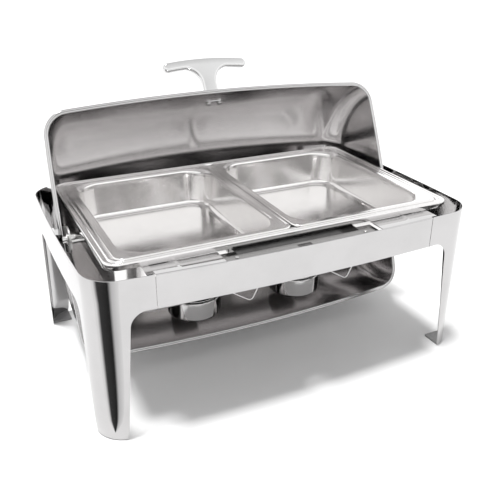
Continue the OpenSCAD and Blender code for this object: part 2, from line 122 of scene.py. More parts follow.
def bowed_quarter(shape, xs=(), ys=(), corner_steps=16, face_steps=10, end_steps=6):
    """Columns (x, y, nx, ny) from mid face to mid end; xs and ys add columns of their own."""
    ax, ay, rf, re, rc = shape
    # an added column stays this far from the start of the next stretch
    apart = 0.0004
    cx, cy = corner_centre(shape)
    fa = math.atan2(cx, cy + rf - ay)
    ea = math.atan2(cy, cx + re - ax)
    face_x = rf * math.sin(fa)
    end_y = re * math.sin(ea)
    xs = sorted({round(face_x * i / face_steps, 6) for i in range(face_steps)}
                | {x for x in xs if 0 <= x < face_x - apart})
    ys = sorted({round(end_y * i / end_steps, 6) for i in range(end_steps)}
                | {y for y in ys if 0 <= y < end_y - apart}, reverse=True)
    columns = []
    for x in xs:
        a = math.asin(x / rf)
        columns.append((x, ay - rf + rf * math.cos(a), math.sin(a), math.cos(a)))
    for i in range(corner_steps + 1):
        a = fa + (math.pi / 2 - ea - fa) * i / corner_steps
        columns.append((cx + rc * math.sin(a), cy + rc * math.cos(a), math.sin(a), math.cos(a)))
    for y in ys:
        a = math.asin(y / re)
        columns.append((ax - re + re * math.cos(a), y, math.cos(a), math.sin(a)))
    return columns


def turned(columns, sx, sy):
    """Columns mirrored by the signs sx and sy."""
    return [(sx * x, sy * y, sx * nx, sy * ny) for x, y, nx, ny in columns]


def whole_outline(shape, **steps):
    """All columns round a bowed outline, once round."""
    quarter = bowed_quarter(shape, **steps)
    return (turned(quarter, 1, 1) + turned(quarter, 1, -1)[::-1][1:]
            + turned(quarter, -1, -1)[1:] + turned(quarter, -1, 1)[::-1][1:-1])


def arch_corner(arch):
    """Slope of an arch's side, where its corner meets the side, and the corner's centre."""
    foot, top, z_top, r = arch
    slope = math.atan2(foot - top, z_top)
    edge = top + (foot - top) * r / z_top
    return slope, edge, edge - r / math.cos(slope)


def arch_columns(arch):
    """Places along an arch where its round corner and sloping edge need a column."""
    foot, r = arch[0], arch[3]
    _, edge, cx = arch_corner(arch)
    past_foot = 0.0002
    round_part = [cx + r * math.sin(math.radians(t)) for t in range(0, 86, 5)]
    side = [edge + (foot - edge) * i / 6 for i in range(7)]
    return round_part + side + [foot + past_foot]


def arch_height(arch, v):
    """Height of the sheet's lower edge at distance v from the middle of the arch."""
    foot, top, z_top, r = arch
    slope, _, cx = arch_corner(arch)
    v = abs(v)
    if v >= foot:
        return 0.0
    if v <= cx:
        return z_top
    if v < cx + r * math.cos(slope):
        return z_top - r + math.sqrt(r * r - (v - cx) ** 2)
    return z_top * (foot - v) / (foot - top)


def round_edge(half, steps=4):
    """Half circle of offsets (across, along) that rounds the edge of a sheet."""
    return [(half - half * math.cos(math.pi * i / steps), half * math.sin(math.pi * i / steps))
            for i in range(steps + 1)]


def sheet_section(z0, z1, thick, rows=8):
    """Closed section of a standing sheet as (inset, z), with both edges rounded."""
    half = thick / 2
    up = [(0, z0 + half + (z1 - z0 - thick) * i / rows) for i in range(rows + 1)]
    top = [(c, z1 - half + s) for c, s in round_edge(half)[1:-1]]
    down = [(thick, z) for _, z in reversed(up)]
    bottom = [(thick - c, z0 + half - s) for c, s in round_edge(half)[1:-1]]
    return up + top + down + bottom


# ---------- mesh code ----------

def loft(loops, closed=False, caps=True):
    """Skin between loops of equal length; closed joins the last loop to the first."""
    count = len(loops[0])
    verts = [Vector(p) for loop in loops for p in loop]
    faces = []
    for i in range(len(loops) - (0 if closed else 1)):
        j = (i + 1) % len(loops)
        for k in range(count):
            m = (k + 1) % count
            faces.append((i * count + k, i * count + m, j * count + m, j * count + k))
    if caps and not closed:
        faces.append(tuple(reversed(range(count))))
        faces.append(tuple(range((len(loops) - 1) * count, len(loops) * count)))
    return verts, faces


def joined(*shapes):
    """Shapes as one list of vertices and one of faces."""
    verts, faces = [], []
    for v, f in shapes:
        start = len(verts)
        verts += v
        faces += [tuple(i + start for i in face) for face in f]
    return verts, faces


def moved(shape, matrix):
    """Shape with its vertices carried by the matrix."""
    return [matrix @ v for v in shape[0]], shape[1]


def piece(name, shape, body, nodes, paint, sharp=38, second=None):
    """Makes one piece from (verts, faces), rides it on its body and hides the CAD parts it
    replaces.

    Edges sharper than sharp degrees stay sharp. second is a material and a test of a face's
    centre and normal that says which faces take it.
    """
    weld, smallest = 2e-6, 1e-6
    mesh = bpy.data.meshes.new(name)
    mesh.from_pydata(shape[0], [], shape[1])
    bm = bmesh.new()
    bm.from_mesh(mesh)
    bmesh.ops.remove_doubles(bm, verts=bm.verts, dist=weld)
    bmesh.ops.dissolve_degenerate(bm, edges=bm.edges, dist=smallest)
    bmesh.ops.recalc_face_normals(bm, faces=bm.faces)
    limit = math.radians(sharp)
    for face in bm.faces:
        face.smooth = True
        if second and second[1](face.calc_center_median(), face.normal):
            face.material_index = 1
    for edge in bm.edges:
        edge.smooth = len(edge.link_faces) == 2 and edge.calc_face_angle(0) < limit
    bm.to_mesh(mesh)
    bm.free()
    mesh.materials.append(paint)
    if second:
        mesh.materials.append(second[0])
    obj = bpy.data.objects.new(name, mesh)
    bpy.context.scene.collection.objects.link(obj)
    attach(obj, body)
    if nodes:
        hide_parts(*nodes)
    return obj


def rounded_loop(half_x, half_y, r, z, steps=14):
    """Rounded rectangle as a loop of points."""
    points = []
    for sx, sy, start in ((1, 1, 0), (-1, 1, 90), (-1, -1, 180), (1, -1, 270)):
        for i in range(steps + 1):
            a = math.radians(start + 90 * i / steps)
            points.append(Vector((sx * (half_x - r) + r * math.cos(a),
                                  sy * (half_y - r) + r * math.sin(a), z)))
    return points


def lathe(profile, centre, steps=96):
    """Closed profile of (radius, z) turned about a vertical axis."""
    loops = []
    for i in range(steps):
        a = 2 * math.pi * i / steps
        loops.append([Vector((centre.x + r * math.cos(a), centre.y + r * math.sin(a), z))
                      for r, z in profile])
    return loft(loops, closed=True)


def arc(cx, cz, r, start, stop, steps=5):
    """Points of an arc in a profile, angles in degrees."""
    return [(cx + r * math.cos(math.radians(start + (stop - start) * i / steps)),
             cz + r * math.sin(math.radians(start + (stop - start) * i / steps)))
            for i in range(steps + 1)]


def rounded_path(points, radius, steps=7):
    """Polyline with its corners turned into bends of about that radius."""
    longest = 0.45
    path = [Vector(points[0])]
    for before, corner, after in zip(points, points[1:], points[2:]):
        before, corner, after = Vector(before), Vector(corner), Vector(after)
        into, out = (before - corner).normalized(), (after - corner).normalized()
        half = into.angle(out) / 2
        reach = min(radius / math.tan(half), longest * (before - corner).length,
                    longest * (after - corner).length)
        a, b = corner + into * reach, corner + out * reach
        for i in range(steps + 1):
            t = i / steps
            path.append(a * (1 - t) ** 2 + corner * 2 * t * (1 - t) + b * t * t)
    path.append(Vector(points[-1]))
    return path


def tube(path, r, around=14):
    """Round wire along a path, with domed ends."""
    dome = [math.pi / 2 * i / 4 for i in (1, 2, 3)]
    tangents = [(path[min(i + 1, len(path) - 1)] - path[max(i - 1, 0)]).normalized()
                for i in range(len(path))]
    side = tangents[0].orthogonal().normalized()
    loops = []

    def ring(centre, direction, radius):
        nonlocal side
        side = (side - direction * side.dot(direction)).normalized()
        up = direction.cross(side)
        loops.append([centre + (side * math.cos(2 * math.pi * k / around)
                                + up * math.sin(2 * math.pi * k / around)) * radius
                      for k in range(around)])

    for a in reversed(dome):
        ring(path[0] - tangents[0] * r * math.sin(a), tangents[0], r * math.cos(a))
    for p, t in zip(path, tangents):
        ring(p, t, r)
    for a in dome:
        ring(path[-1] + tangents[-1] * r * math.sin(a), tangents[-1], r * math.cos(a))
    return loft(loops)


# ---------- materials ----------

def new_material(name):
    """A material with its node tree and its Principled shader."""
    material = bpy.data.materials.new(name)
    material.use_nodes = True
    tree = material.node_tree
    shader = tree.nodes["Principled BSDF"]
    return material, tree, shader


def node(tree, kind, inputs=(), **settings):
    """Adds a node; inputs are values or the sockets they are linked from."""
    made = tree.nodes.new(kind)
    for key, value in settings.items():
        setattr(made, key, value)
    for key, value in dict(inputs).items():
        if isinstance(value, bpy.types.NodeSocket):
            tree.links.new(value, made.inputs[key])
        else:
            made.inputs[key].default_value = value
    return made


def ramp(tree, source, stops):
    """Colour ramp of (place, grey or colour) stops."""
    made = node(tree, "ShaderNodeValToRGB", {"Fac": source})
    elements = made.color_ramp.elements
    while len(elements) < len(stops):
        elements.new(0.5)
    for element, (place, value) in zip(elements, stops):
        element.position = place
        element.color = (*value, 1) if isinstance(value, tuple) else (value, value, value, 1)
    return made.outputs["Color"]


def steel(name, tone, rough, grain=None, grain_depth=0.0, wave=0.0, marks=0.03, edge=0.0):
    """Bare or plated metal.

    tone is its colour and rough its lowest and highest roughness. grain is the scale of the
    brushed lines along each axis, wave the waviness of the sheet, marks how dark the smudges
    are, and edge the radius that its edges look rounded by.
    """
    material, tree, shader = new_material(name)
    place = node(tree, "ShaderNodeTexCoord").outputs["Object"]
    shader.inputs["Metallic"].default_value = 1.0
    cloud = node(tree, "ShaderNodeTexNoise", {"Vector": place, "Scale": 14.0, "Detail": 5.0,
                                              "Roughness": 0.6}).outputs["Fac"]
    darker = tuple(c * (1 - marks * 2) for c in tone)
    colour = ramp(tree, cloud, [(0.3, darker), (0.62, tone)])
    tree.links.new(colour, shader.inputs["Base Color"])
    smudge = node(tree, "ShaderNodeTexNoise", {"Vector": place, "Scale": 38.0, "Detail": 4.0,
                                               "Distortion": 0.6}).outputs["Fac"]
    roughness = node(tree, "ShaderNodeMapRange", {"Value": smudge, "From Min": 0.3,
                                                  "From Max": 0.7, "To Min": rough[0],
                                                  "To Max": rough[1]}).outputs["Result"]
    height = None
    if grain:
        stretched = node(tree, "ShaderNodeMapping", {"Vector": place, "Scale": grain})
        lines = node(tree, "ShaderNodeTexNoise", {"Vector": stretched.outputs["Vector"],
                                                  "Scale": 1.0, "Detail": 6.0,
                                                  "Roughness": 0.7}).outputs["Fac"]
        spread = node(tree, "ShaderNodeMapRange", {"Value": lines, "From Min": 0.3,
                                                   "From Max": 0.7, "To Min": -0.05,
                                                   "To Max": 0.05}).outputs["Result"]
        roughness = node(tree, "ShaderNodeMath", {0: roughness, 1: spread},
                         operation="ADD").outputs["Value"]
        height = node(tree, "ShaderNodeBump", {"Height": lines, "Strength": grain_depth,
                                               "Distance": 0.0003}).outputs["Normal"]
    if wave:
        slow = node(tree, "ShaderNodeTexNoise", {"Vector": place, "Scale": 6.0, "Detail": 1.0})
        bump = node(tree, "ShaderNodeBump", {"Height": slow.outputs["Fac"], "Strength": wave,
                                             "Distance": 0.002})
        if height:
            tree.links.new(height, bump.inputs["Normal"])
        height = bump.outputs["Normal"]
    if edge:
        height = node(tree, "ShaderNodeBevel", {"Radius": edge}, samples=4).outputs["Normal"]
    tree.links.new(roughness, shader.inputs["Roughness"])
    if height:
        tree.links.new(height, shader.inputs["Normal"])
    return material


def rubber_paint():
    """Grey rubber with a fine grain."""
    material, tree, shader = new_material("pad_rubber")
    place = node(tree, "ShaderNodeTexCoord").outputs["Object"]
    cloud = node(tree, "ShaderNodeTexNoise", {"Vector": place, "Scale": 260.0, "Detail": 4.0})
    tree.links.new(ramp(tree, cloud.outputs["Fac"], [(0.3, 0.20), (0.7, 0.27)]),
                   shader.inputs["Base Color"])
    shader.inputs["Roughness"].default_value = 0.5
    bump = node(tree, "ShaderNodeBump", {"Height": cloud.outputs["Fac"], "Strength": 0.25,
                                         "Distance": 0.0002})
    tree.links.new(bump.outputs["Normal"], shader.inputs["Normal"])
    return material


POLISHED = steel("frame_steel", (0.53, 0.523, 0.524), (0.05, 0.10), wave=0.04)
LID_OUTSIDE = steel("lid_steel_polished", (0.54, 0.533, 0.533), (0.07, 0.12), wave=0.02)
LID_INSIDE = steel("lid_steel_satin", (0.62, 0.607, 0.607), (0.15, 0.18),
                   grain=(4.0, 2500.0, 2500.0), grain_depth=0.004, marks=0.012)
RIM_STEEL = steel("rim_steel", (0.50, 0.495, 0.495), (0.08, 0.14))
PAN_STEEL = steel("pan_steel", (0.80, 0.79, 0.785), (0.14, 0.21), wave=0.03, marks=0.02)
SATIN = steel("satin_steel", (0.50, 0.495, 0.49), (0.26, 0.34),
              grain=(14.0, 700.0, 700.0), grain_depth=0.10)
LEDGE = steel("ledge_steel", (0.30, 0.297, 0.295), (0.12, 0.20),
              grain=(14.0, 700.0, 700.0), grain_depth=0.06)
TURNED = steel("turned_steel", (0.60, 0.595, 0.59), (0.14, 0.22),
               grain=(900.0, 30.0, 30.0), grain_depth=0.08)
FASTENER = steel("fastener_steel", (0.55, 0.545, 0.54), (0.18, 0.28), edge=0.0004)
BURNER = steel("burner_steel", (0.66, 0.65, 0.65), (0.03, 0.06), wave=0.02)
CHROME = steel("cast_chrome", (0.66, 0.66, 0.66), (0.03, 0.06))
TIN = steel("can_tin", (0.55, 0.54, 0.53), (0.22, 0.34), marks=0.08)
RUBBER = rubber_paint()


# ---------- frame ----------

def end_frame(side):
    """Bent sheet end with two tapering legs, from seam to seam round the end."""
    quarter = bowed_quarter(FRAME_SHAPE, xs=[SEAM_X] + arch_columns(FRONT_ARCH),
                            ys=arch_columns(END_ARCH), corner_steps=28)
    quarter = [c for c in quarter if c[0] >= SEAM_X - NEARLY]
    path = turned(quarter, side, -1) + turned(quarter, side, 1)[::-1][1:]
    loops = []
    for x, y, nx, ny in path:
        low = max(arch_height(FRONT_ARCH, x), arch_height(END_ARCH, y), LEG_FOOT_Z)
        loops.append([Vector((x - nx * d, MID_Y + y - ny * d, z))
                      for d, z in sheet_section(low, FRAME_Z, SHEET)])
    name = SIDE_NAMES[side] + "_end_frame"
    return piece(name + "_sheet", loft(loops), "frame", [name], POLISHED)


def rail_columns(x0, x1, sy, steps=16):
    """Columns along the bowed front (sy -1) or rear (sy 1) from x0 to x1."""
    rf, ay = FRAME_SHAPE[2], FRAME_SHAPE[1]
    columns = []
    for i in range(steps + 1):
        x = x0 + (x1 - x0) * i / steps
        a = math.asin(x / rf)
        columns.append((x, sy * (ay - rf + rf * math.cos(a)), math.sin(a), sy * math.cos(a)))
    return columns


def rail_strip(x0, x1, sy):
    """Plain rail wall from x0 to x1."""
    loops = [[Vector((x - nx * d, MID_Y + y - ny * d, z))
              for d, z in sheet_section(RAIL_Z, FRAME_Z, SHEET)]
             for x, y, nx, ny in rail_columns(x0, x1, sy)]
    return loft(loops)


def flange_reach(x):
    """Y of the front flange's rear edge at x; the flange widens towards the seams."""
    narrow, wide = MID_Y - FLANGE_END, FLANGE_HI.y
    return narrow + (wide - narrow) * min(max((abs(x) - WIDENS_AT) / WIDENS_OVER, 0), 1)


def flanged_strip(x0, x1):
    """Rail wall and flange in one bent sheet, with more columns where the flange widens."""
    bend = 0.0022
    inner = bend - SHEET
    half = SHEET / 2
    eased = half * 0.3
    wall_row = RAIL_Z + 0.02
    sign = 1 if x1 > 0 else -1
    columns = rail_columns(x0, x1, -1, 24)
    columns += rail_columns(sign * min(abs(x0), WIDENS_AT), sign * (WIDENS_AT + WIDENS_OVER), -1, 4)
    loops = []
    for x, y, _, _ in sorted(columns):
        front = MID_Y + y
        reach = flange_reach(x) - front
        section = [(0, RAIL_Z + half), (0, wall_row), (0, FRAME_Z - bend)]
        section += [(bend - bend * math.cos(a), FRAME_Z - bend + bend * math.sin(a))
                    for a in (0.26, 0.52, 0.79, 1.05, 1.31, 1.571)]
        section += [(reach - half, FRAME_Z), (reach - eased, FRAME_Z - eased),
                    (reach, FRAME_Z - half), (reach - eased, FRAME_Z - SHEET + eased),
                    (reach - half, FRAME_Z - SHEET)]
        section += [(bend - inner * math.cos(a), FRAME_Z - bend + inner * math.sin(a))
                    for a in (1.571, 1.05, 0.52, 0)]
        section += [(SHEET, wall_row), (SHEET, RAIL_Z + half),
                    (SHEET - eased, RAIL_Z + eased), (half, RAIL_Z), (eased, RAIL_Z + eased)]
        loops.append([Vector((x, front + d, z)) for d, z in section])
    return loft(loops)


def flange_tab(side):
    """End of the flange that tucks in behind the seam."""
    front = MID_Y - FRAME_Y + 0.0105
    inner, outer = RAIL_X, FLANGE_HI.x
    loops = []
    for x in (inner, inner + 0.25 * (outer - inner), outer - 0.001, outer):
        loops.append([Vector((side * x, y, z)) for y, z in
                      ((front, FRAME_Z), (FLANGE_HI.y, FRAME_Z),
                       (FLANGE_HI.y, FRAME_Z - SHEET), (front, FRAME_Z - SHEET))])
    return loft(loops)


def front_rail():
    """Rail with a flange to each side; the ledge lies between the two slits."""
    slit = LEDGE_HI.x + 0.0005
    shape = joined(rail_strip(-slit, slit, -1), flanged_strip(-RAIL_X, -slit),
                   flanged_strip(slit, RAIL_X), flange_tab(-1), flange_tab(1))
    return piece("front_rail_sheet", shape, "frame", ["front_rail"], POLISHED)


def rear_rail():
    """Rail between the two rear seams."""
    shape = rail_strip(-RAIL_X, RAIL_X, 1)
    return piece("rear_rail_sheet", shape, "frame", ["rear_rail"], POLISHED)


# ---------- lid ----------

def at_lid():
    """Carries closed-lid coordinates, rim plane at z 0, to the open rest pose."""
    return (Matrix.Translation((0, MID_Y, PIVOT.z)) @ Matrix.Rotation(-OPEN, 4, "X")
            @ Matrix.Translation((0, 0, LID_RIM_D)))


def lid_profile(inset):
    """Half outline of the barrel as (x, distance from the pivot), right end to left end."""
    shape = (LID_SHAPE[0], BARREL_R) + LID_SHAPE[2:]
    quarter = bowed_quarter(shape, ys=[LID_RIM_D], corner_steps=12, face_steps=12, end_steps=9)
    points = [(x - nx * inset, y - ny * inset) for x, y, nx, ny in quarter
              if y > LID_RIM_D - NEARLY]
    return points[::-1] + [(-x, y) for x, y in points[1:]]


def lid_shell():
    """Barrel turned about the pivot and cut off flat at the rim."""
    section = lid_profile(0) + lid_profile(LID_SHEET)[::-1]
    end_wall = LID_SHAPE[0] - 0.012
    steps = 90
    loops = []
    for i in range(steps + 1):
        loop = []
        for x, r in section:
            start = math.asin(min(1, LID_RIM_D / r))
            a = start + (math.pi - 2 * start) * i / steps
            loop.append(Vector((x, -r * math.cos(a), r * math.sin(a) - LID_RIM_D)))
        loops.append(loop)
    place = at_lid()
    back = place.inverted()

    def faces_in(centre, normal):
        """Whether a face looks into the barrel."""
        if abs(centre.x) > end_wall:
            return normal.x * centre.x < 0
        local = back @ centre
        return (back.to_3x3() @ normal).dot(Vector((0, local.y, local.z + LID_RIM_D))) < 0

    shape = moved(loft(loops), place)
    return piece("lid_shell_sheet", shape, "lid", ["lid_shell"], LID_OUTSIDE,
                 second=(LID_INSIDE, faces_in))


def rim_section():
    """Turned-out rim with a rolled bead, as (out, z) from the shell's outer face."""
    bead_r = 0.0021
    section = [(-LID_SHEET, 0.0003), (-LID_SHEET, -0.0006)]
    section += arc(0.0005, -0.0006, 0.0015, 180, 265, 5)
    section += [(0.0012, -0.0021), (0.0019, -0.0017), (0.0025, -0.0017)]
    section += arc(RIM_OUT - bead_r, -0.0004, bead_r, 205, 450, 14)
    section += [(0.0016, 0.0008), (0.0006, 0.0002), (-0.0001, 0.0003)]
    return section


def lid_rim():
    """Rim and bead round the lid's open edge."""
    loops = []
    for x, y, nx, ny in whole_outline(LID_SHAPE, corner_steps=14, face_steps=14):
        loops.append([Vector((x + nx * d, y + ny * d, z)) for d, z in rim_section()])
    shape = moved(loft(loops, closed=True), at_lid())
    return piece("lid_rim_bead", shape, "lid", [], RIM_STEEL, sharp=50)


def handle_outline():
    """T outline of the handle as (along, out) from the rim's axis, from the base round."""
    bar_len, bar_h, out, bow = 0.154, 0.017, 0.2635, 0.56
    stem, fillet = 0.013, 0.030
    base = LID_SHAPE[1] - 0.006
    tip = math.asin((bar_len / 2 - bar_h / 2) / bow)
    under = out - bar_h / 2 - 0.0006
    right = [(stem, base), (stem, under - fillet)]
    right += [(stem + fillet - fillet * math.cos(math.radians(d)),
               under - fillet + fillet * math.sin(math.radians(d))) for d in range(8, 81, 8)]
    inner_r, outer_r = bow - bar_h / 2, bow + bar_h / 2
    start = math.asin((stem + fillet + 0.001) / inner_r)
    right += [(inner_r * math.sin(a), out - bow + inner_r * math.cos(a))
              for a in [start + (tip - start) * i / 6 for i in range(7)]]
    end = (bow * math.sin(tip), out - bow + bow * math.cos(tip))
    right += [(end[0] + bar_h / 2 * math.cos(a), end[1] + bar_h / 2 * math.sin(a))
              for a in [-math.pi / 2 - tip + math.pi * i / 12 for i in range(1, 12)]]
    right += [(outer_r * math.sin(a), out - bow + outer_r * math.cos(a))
              for a in [tip * (1 - i / 12) for i in range(13)]]
    return right + [(-x, z) for x, z in reversed(right[:-1])]


def shrunk(outline, by):
    """Outline moved inwards by that much, except that its two base points only move sideways."""
    points = [Vector(p) for p in outline]
    count = len(points)
    result = []
    for i, p in enumerate(points):
        if i in (0, count - 1):
            result.append((p.x - by * (1 if p.x > 0 else -1), p.y))
            continue
        along = (points[i + 1] - p).normalized() + (p - points[i - 1]).normalized()
        along.normalize()
        result.append((p.x - along.y * by, p.y + along.x * by))
    return result


def lid_handle():
    """Cast T handle with round edges; its base follows the barrel it is screwed to."""
    half, edge_r = 0.007, 0.0052
    turn = Matrix.Rotation(math.pi / 2 - HANDLE_TILT, 4, "X")
    outline = handle_outline()
    rounding = [(half - edge_r + edge_r * math.sin(a), edge_r - edge_r * math.cos(a))
                for a in [math.pi / 2 * i / 6 for i in range(7)]]
    layers = [(-y, by) for y, by in reversed(rounding)] + rounding
    lift = LID_RIM_D * math.sin(HANDLE_TILT)
    loops = []
    for y, by in layers:
        points = shrunk(outline, by)
        # distance out to the barrel's face at this depth, less half the sheet
        level = LID_RIM_D * math.cos(HANDLE_TILT) - y
        seat = math.sqrt(BARREL_R**2 - level**2) - lift - LID_SHEET / 2
        points[0] = (points[0][0], seat)
        points[-1] = (points[-1][0], seat)
        loops.append([turn @ Vector((x, y, z)) for x, z in points])
    return piece("lid_handle_cast", moved(loft(loops), at_lid()), "lid", ["lid_handle"],
                 CHROME, sharp=50)


# ---------- pans ----------

def loop_stack(rows, middle_x, steps=14):
    """Skin through rounded rectangles given as (half_x, half_y, corner radius, z)."""
    loops = []
    for half_x, half_y, r, z in rows:
        loops.append([p + Vector((middle_x, MID_Y, 0))
                      for p in rounded_loop(half_x, half_y, r, z, steps)])
    return loft(loops)


def fillet_rows(d0, z0, d1, z1, r0, r1, convex, steps=5):
    """Quarter round from (d0, z0) to (d1, z1) as (inset, z, corner radius)."""
    rows = []
    for i in range(steps + 1):
        a = math.pi / 2 * i / steps
        if convex:
            u, v = math.sin(a), 1 - math.cos(a)
        else:
            u, v = 1 - math.cos(a), math.sin(a)
        rows.append((d0 + (d1 - d0) * u, z0 + (z1 - z0) * v, r0 + (r1 - r0) * (i / steps)))
    return rows


def food_pan(side):
    """Half-size pan: tapering walls, a flat flange and a turned-down lip."""
    name = "food_pan_" + SIDE_NAMES[side]
    lo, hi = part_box(name)
    half_x, half_y = (hi.x - lo.x) / 2, (hi.y - lo.y) / 2
    rim, base = hi.z, lo.z
    # flange width, how far the wall leans in, sheet, fillet at the foot, inset of the middle loop
    wall, taper, t, foot_r, middle = 0.0138, 0.0035, 0.0009, 0.009, 0.105
    foot = wall + taper
    # rows go from the middle of the underside, up the outside, over the rim and down inside
    under = [(middle, base, 0.012), (foot + 0.010, base, 0.030)]
    under += fillet_rows(foot + foot_r, base, foot, base + foot_r, 0.032, 0.038, True)[1:]
    under += [(wall + 0.0004, rim - 0.012, 0.0415)]
    under += fillet_rows(wall, rim - 0.0052, wall - 0.004, rim - 0.0016, 0.042, 0.038, False)
    under += [(0.0050, rim - 0.0016, 0.014), (0.0040, rim - 0.0009, 0.0135),
              (0.0016, rim - 0.0009, 0.0140), (0.0009, rim - 0.0013, 0.0142),
              (0.0009, rim - 0.0024, 0.0142), (0.0005, rim - 0.0026, 0.0146),
              (0.0000, rim - 0.0023, 0.0150), (0.0000, rim - 0.0014, 0.0150)]
    over = fillet_rows(0.0000, rim - 0.0014, 0.0014, rim, 0.015, 0.0140, False, 4)[1:]
    over += [(0.0036, rim, 0.0130), (0.0046, rim - 0.0007, 0.0130), (0.0054, rim - 0.0007, 0.0140)]
    over += fillet_rows(wall - 0.0034, rim - 0.0007, wall + 0.0009, rim - 0.0050,
                        0.037, 0.0415, True)
    over += [(wall + 0.0012, rim - 0.012, 0.041)]
    over += fillet_rows(foot + t, base + t + foot_r, foot + t + foot_r, base + t,
                        0.037, 0.031, False)
    over += [(foot + 0.012, base + t, 0.029), (middle, base + t, 0.012)]
    rows = [(half_x - d, half_y - d, r, z) for d, z, r in under + over]
    return piece(name + "_drawn", loop_stack(rows, (lo.x + hi.x) / 2), "pan_" + SIDE_NAMES[side],
                 [name], PAN_STEEL, sharp=50)


def water_pan():
    """Full-size pan with a stepped rim that the food pans rest on."""
    half_x, half_y = WATER_HI.x, (WATER_HI.y - WATER_LO.y) / 2
    top, base = WATER_HI.z, WATER_LO.z
    seat = top - 0.0022
    step_x, step_y = 0.0145, 0.0090
    body_x, body_y, body_r = 0.256, 0.154, 0.046
    # sheet, fillet at the foot, and how far in and with which corner the flat bottom's middle lies
    t, foot_r, middle, middle_r = 0.001, 0.014, 0.140, 0.008

    def rim_row(u, z, extra=0.0):
        return (half_x - step_x * u - extra, half_y - step_y * u - extra,
                0.020 - 0.004 * u - extra, z)

    def body_row(inset, z, r):
        return (body_x - inset, body_y - inset, r, z)

    rows = [body_row(middle, base, middle_r), body_row(foot_r + t, base, 0.034)]
    rows += [body_row(d, z, r) for d, z, r in
             fillet_rows(foot_r, base, 0.0, base + foot_r, 0.034, body_r, True)[1:]]
    rows += [body_row(0, seat - 0.005, body_r), body_row(-0.0006, seat - 0.0024, 0.0455),
             body_row(-0.002, seat - t, 0.044)]
    rows += [rim_row(1.0, seat - t, -t), rim_row(0.94, top - 0.0020),
             rim_row(0.16, top - 0.0020), rim_row(0.07, top - 0.0030),
             rim_row(0.07, top - 0.0085), rim_row(0.05, top - 0.0091),
             rim_row(0.02, top - 0.0091), rim_row(0.0, top - 0.0085),
             rim_row(0.0, top - 0.0024)]
    # top of the rim from its outer edge to the seat, as (share of its width, height from the top)
    profile = [(0.015, -0.0013), (0.06, -0.0006), (0.12, -0.0001), (0.19, 0.0), (0.30, 0.0),
               (0.36, -0.0002), (0.42, -0.0010), (0.46, -0.0014), (0.54, -0.0014),
               (0.58, -0.0011), (0.64, -0.0003), (0.70, 0.0), (0.84, 0.0), (0.90, -0.0003),
               (0.95, -0.0012), (1.0, -0.0022)]
    rows += [rim_row(u, top + z) for u, z in profile]
    rows += [body_row(-0.0024, seat, 0.044), body_row(0.0, seat - 0.0008, 0.0455),
             body_row(t, seat - 0.004, 0.045)]
    rows += [body_row(t + d, z, r) for d, z, r in
             fillet_rows(0.0, base + foot_r + t, foot_r, base + t, 0.045, 0.032, False)]
    rows += [body_row(middle, base + t, middle_r)]
    return piece("water_pan_drawn", loop_stack(rows, 0.0, 16), "frame", ["water_pan"],
                 PAN_STEEL, sharp=50)


# ---------- burners ----------

BURNER_SHEET = 0.0008


def burner(side):
    """One burner: holder with its pin boss, fuel can, cover and wire handle."""
    mark = SIDE_NAMES[side]
    centre = Vector((side * ((CAN_LO.x + CAN_HI.x) / 2), MID_Y, 0))
    pin_lo, pin_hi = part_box("cover_pin_" + mark)
    pin = Vector(((pin_lo.x + pin_hi.x) / 2, MID_Y, 0))
    holder = joined(lathe(holder_profile(), centre), lathe(boss_profile(), pin, 32))
    piece("burner_holder_" + mark + "_cup", holder, "burner_" + mark, ["burner_holder_" + mark],
          BURNER)
    fuel_can(mark, centre)
    burner_cover(mark, centre, pin)
    wire_handle(mark)


def holder_profile():
    """Round cup with a rolled lip, as (radius, z)."""
    z0, z1 = HOLDER_LO.z, HOLDER_HI.z
    r = (HOLDER_HI.y - HOLDER_LO.y) / 2 - 0.001
    t = BURNER_SHEET
    cup = [(0.002, z0), (r - 0.005, z0)] + arc(r - 0.004, z0 + 0.004, 0.004, 270, 360)
    cup += [(r, z1 - 0.0026)] + arc(r, z1 - 0.0013, 0.0012, 270, 450, 7)
    cup += [(r - t, z1 - 0.0004), (r - t, z0 + 0.005)]
    return cup + arc(r - 0.004, z0 + 0.004, 0.004 - t, 360, 270) + [(0.002, z0 + t)]


def boss_profile():
    """Boss that the cover's pin stands in, as (radius, z)."""
    top, height, r, edge_r = HOLDER_HI.z, 0.012, 0.0038, 0.0007
    boss = [(0.002, top - height), (r, top - height)]
    boss += arc(r, top - height + edge_r, edge_r, 270, 360, 3)
    return boss + arc(r, top - edge_r, edge_r, 0, 90, 3) + [(0.002, top)]


def fuel_can(mark, centre):
    """Tin can with beaded ends and an open mouth."""
    z0, z1 = CAN_LO.z, CAN_HI.z
    r = (CAN_HI.y - CAN_LO.y) / 2
    t = BURNER_SHEET
    mouth = 0.023
    can = [(0.002, z0 + 0.001), (r - 0.004, z0 + 0.001), (r - 0.003, z0)]
    can += arc(r - 0.0009, z0 + 0.0009, 0.0009, 250, 400, 4) + [(r - 0.0010, z0 + 0.003)]
    can += [(r - 0.0010, z1 - 0.003)] + arc(r - 0.0009, z1 - 0.0009, 0.0009, -40, 150, 6)
    can += [(r - 0.003, z1 - 0.0022), (mouth + 0.004, z1 - 0.0022)]
    can += arc(mouth + 0.0012, z1 - 0.0012, 0.0012, 60, 200, 6)
    can += [(mouth, z1 - 0.005), (mouth + 0.0006, z1 - 0.0046), (r - 0.003, z1 - 0.0040),
            (r - 0.0010 - t, z1 - 0.005), (r - 0.0010 - t, z0 + 0.003), (0.002, z0 + 0.0018)]
    piece("fuel_can_" + mark + "_tin", lathe(can, centre), "burner_" + mark,
          ["fuel_can_" + mark], TIN)


